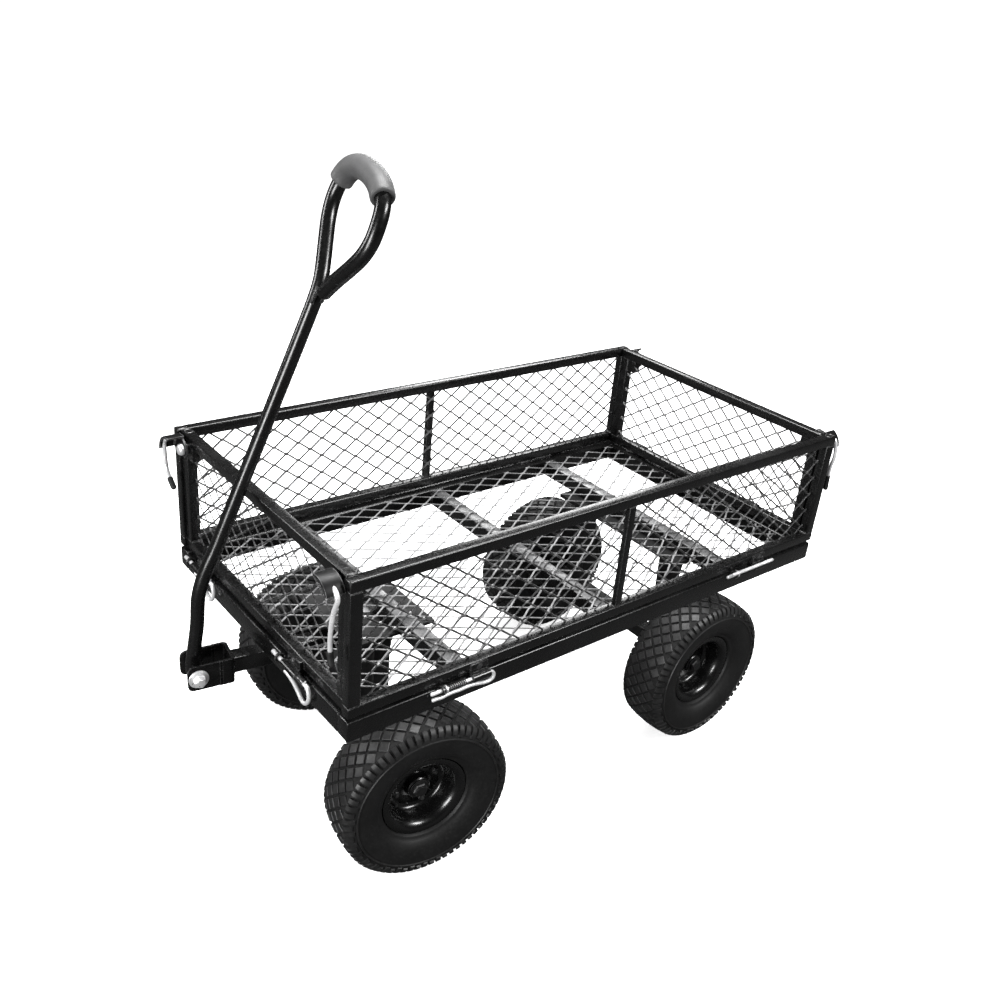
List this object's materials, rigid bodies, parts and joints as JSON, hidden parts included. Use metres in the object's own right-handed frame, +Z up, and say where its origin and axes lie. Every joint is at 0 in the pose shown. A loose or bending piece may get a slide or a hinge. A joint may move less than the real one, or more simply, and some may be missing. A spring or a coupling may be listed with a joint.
{
  "type": "tow behind cart",
  "caption": "Low four-wheeled mesh utility cart with a rectangular deck, fold-down mesh sides held by spring latches, pneumatic wheels, a steered front axle and a loop tow handle.",
  "frame": {"origin": "centre of the load floor, on the top face of the floor mesh, 338.8 mm above the ground", "axes": "+Z up, +X towards the tow handle, +Y towards the cart's left side"},
  "size_m": [1.0387, 0.5414, 0.9667],
  "materials": {
    "black_frame": "satin black powder coat",
    "rim": "gloss black enamel",
    "tyre": "moulded rubber",
    "tip_rubber": "soft rubber sleeve",
    "grip": "grey foam rubber grip",
    "zinc": "bright zinc plate"
  },
  "bodies": {
    "chassis": {"deck_frame": "black_frame", "deck_mesh": "black_frame", "front_panel_frame": "black_frame", "front_panel_mesh": "black_frame", "rear_axle": "black_frame", "turntable_upper": "black_frame", "kingpin_bolt": "zinc", "left_front_lever_bolt": "zinc", "right_front_lever_bolt": "zinc", "rear_left_axle_nut": "black_frame", "rear_right_axle_nut": "black_frame"},
    "left_side": {"left_panel_frame": "black_frame", "left_panel_mesh": "black_frame"},
    "right_side": {"right_panel_frame": "black_frame", "right_panel_mesh": "black_frame"},
    "tail_side": {"rear_panel_frame": "black_frame", "rear_panel_mesh": "black_frame", "left_rear_lever_bolt": "zinc", "right_rear_lever_bolt": "zinc"},
    "steering": {"turntable_lower": "black_frame", "front_axle": "black_frame", "drawbar": "black_frame", "handle_bolt": "zinc", "handle_nut": "zinc", "front_left_axle_nut": "black_frame", "front_right_axle_nut": "black_frame"},
    "handle": {"handle_tube": "black_frame", "handle_grip": "grip"},
    "front_left_wheel": {"front_left_tyre": "tyre", "front_left_rim": "rim"},
    "front_right_wheel": {"front_right_tyre": "tyre", "front_right_rim": "rim"},
    "rear_left_wheel": {"rear_left_tyre": "tyre", "rear_left_rim": "rim"},
    "rear_right_wheel": {"rear_right_tyre": "tyre", "rear_right_rim": "rim"},
    "left_front_latch": {"left_front_latch_pin": "zinc", "left_front_latch_spring": "zinc"},
    "left_rear_latch": {"left_rear_latch_pin": "zinc", "left_rear_latch_spring": "zinc"},
    "right_front_latch": {"right_front_latch_pin": "zinc", "right_front_latch_spring": "zinc"},
    "right_rear_latch": {"right_rear_latch_pin": "zinc", "right_rear_latch_spring": "zinc"},
    "front_left_latch": {"front_left_latch_pin": "zinc", "front_left_latch_spring": "zinc"},
    "front_right_latch": {"front_right_latch_pin": "zinc", "front_right_latch_spring": "zinc"},
    "rear_left_latch": {"rear_left_latch_pin": "zinc", "rear_left_latch_spring": "zinc"},
    "rear_right_latch": {"rear_right_latch_pin": "zinc", "rear_right_latch_spring": "zinc"},
    "left_front_lever_arm": {"left_front_lever": "black_frame", "left_front_lever_tip": "tip_rubber"},
    "left_rear_lever_arm": {"left_rear_lever": "black_frame", "left_rear_lever_tip": "tip_rubber"},
    "right_front_lever_arm": {"right_front_lever": "black_frame", "right_front_lever_tip": "tip_rubber"},
    "right_rear_lever_arm": {"right_rear_lever": "black_frame", "right_rear_lever_tip": "tip_rubber"}
  },
  "joints": [
    {"name": "left_side_fold", "type": "hinge", "parent": "chassis", "child": "left_side", "pos_m": [0.008, 0.259, 0.0032], "axis": [-1, 0, 0], "range_deg": [0, 150]},
    {"name": "right_side_fold", "type": "hinge", "parent": "chassis", "child": "right_side", "pos_m": [0.008, -0.259, 0.0032], "axis": [1, 0, 0], "range_deg": [0, 150]},
    {"name": "tail_side_fold", "type": "hinge", "parent": "chassis", "child": "tail_side", "pos_m": [-0.4595, 0, 0.0032], "axis": [0, -1, 0], "range_deg": [0, 150]},
    {"name": "steering_turn", "type": "hinge", "parent": "chassis", "child": "steering", "pos_m": [0.28835, 0, -0.0388], "axis": [0, 0, 1], "range_deg": [-9, 14]},
    {"name": "handle_pivot", "type": "hinge", "parent": "steering", "child": "handle", "pos_m": [0.54147, -0.03831, -0.0708], "axis": [0.1496, 0.9887, 0], "range_deg": [0, 115]},
    {"name": "front_left_wheel_spin", "type": "hinge", "parent": "steering", "child": "front_left_wheel", "pos_m": [0.31826, 0.19765, -0.2088], "axis": [0.1496, 0.9887, 0], "continuous": true},
    {"name": "front_right_wheel_spin", "type": "hinge", "parent": "steering", "child": "front_right_wheel", "pos_m": [0.25844, -0.19765, -0.2088], "axis": [0.1496, 0.9887, 0], "continuous": true},
    {"name": "rear_left_wheel_spin", "type": "hinge", "parent": "chassis", "child": "rear_left_wheel", "pos_m": [-0.2552, 0.1999, -0.2088], "axis": [0, 1, 0], "continuous": true},
    {"name": "rear_right_wheel_spin", "type": "hinge", "parent": "chassis", "child": "rear_right_wheel", "pos_m": [-0.2552, -0.1999, -0.2088], "axis": [0, 1, 0], "continuous": true},
    {"name": "left_front_latch_pull", "type": "slide", "parent": "chassis", "child": "left_front_latch", "axis": [-1, 0, 0], "range_m": [0, 0.021], "stiffness_N_per_m": 400, "springref_m": -0.01, "deforming": ["left_front_latch_spring"]},
    {"name": "left_rear_latch_pull", "type": "slide", "parent": "left_side", "child": "left_rear_latch", "axis": [-1, 0, 0], "range_m": [0, 0.021], "stiffness_N_per_m": 400, "springref_m": -0.01, "deforming": ["left_rear_latch_spring"]},
    {"name": "right_front_latch_pull", "type": "slide", "parent": "chassis", "child": "right_front_latch", "axis": [-1, 0, 0], "range_m": [0, 0.021], "stiffness_N_per_m": 400, "springref_m": -0.01, "deforming": ["right_front_latch_spring"]},
    {"name": "right_rear_latch_pull", "type": "slide", "parent": "right_side", "child": "right_rear_latch", "axis": [-1, 0, 0], "range_m": [0, 0.021], "stiffness_N_per_m": 400, "springref_m": -0.01, "deforming": ["right_rear_latch_spring"]},
    {"name": "front_left_latch_pull", "type": "slide", "parent": "chassis", "child": "front_left_latch", "axis": [0, 1, 0], "range_m": [0, 0.021], "stiffness_N_per_m": 400, "springref_m": -0.01, "deforming": ["front_left_latch_spring"]},
    {"name": "front_right_latch_pull", "type": "slide", "parent": "chassis", "child": "front_right_latch", "axis": [0, 1, 0], "range_m": [0, 0.021], "stiffness_N_per_m": 400, "springref_m": -0.01, "deforming": ["front_right_latch_spring"]},
    {"name": "rear_left_latch_pull", "type": "slide", "parent": "chassis", "child": "rear_left_latch", "axis": [0, 1, 0], "range_m": [0, 0.021], "stiffness_N_per_m": 400, "springref_m": -0.01, "deforming": ["rear_left_latch_spring"]},
    {"name": "rear_right_latch_pull", "type": "slide", "parent": "chassis", "child": "rear_right_latch", "axis": [0, 1, 0], "range_m": [0, 0.021], "stiffness_N_per_m": 400, "springref_m": -0.01, "deforming": ["rear_right_latch_spring"]},
    {"name": "left_front_lever_turn", "type": "hinge", "parent": "chassis", "child": "left_front_lever_arm", "pos_m": [0.472, 0.21, 0.1832], "axis": [1, 0, 0], "range_deg": [0, 100]},
    {"name": "left_rear_lever_turn", "type": "hinge", "parent": "tail_side", "child": "left_rear_lever_arm", "pos_m": [-0.456, 0.21, 0.1832], "axis": [1, 0, 0], "range_deg": [0, 100]},
    {"name": "right_front_lever_turn", "type": "hinge", "parent": "chassis", "child": "right_front_lever_arm", "pos_m": [0.472, -0.21, 0.1832], "axis": [-1, 0, 0], "range_deg": [0, 100]},
    {"name": "right_rear_lever_turn", "type": "hinge", "parent": "tail_side", "child": "right_rear_lever_arm", "pos_m": [-0.456, -0.21, 0.1832], "axis": [-1, 0, 0], "range_deg": [0, 100]}
  ]
}
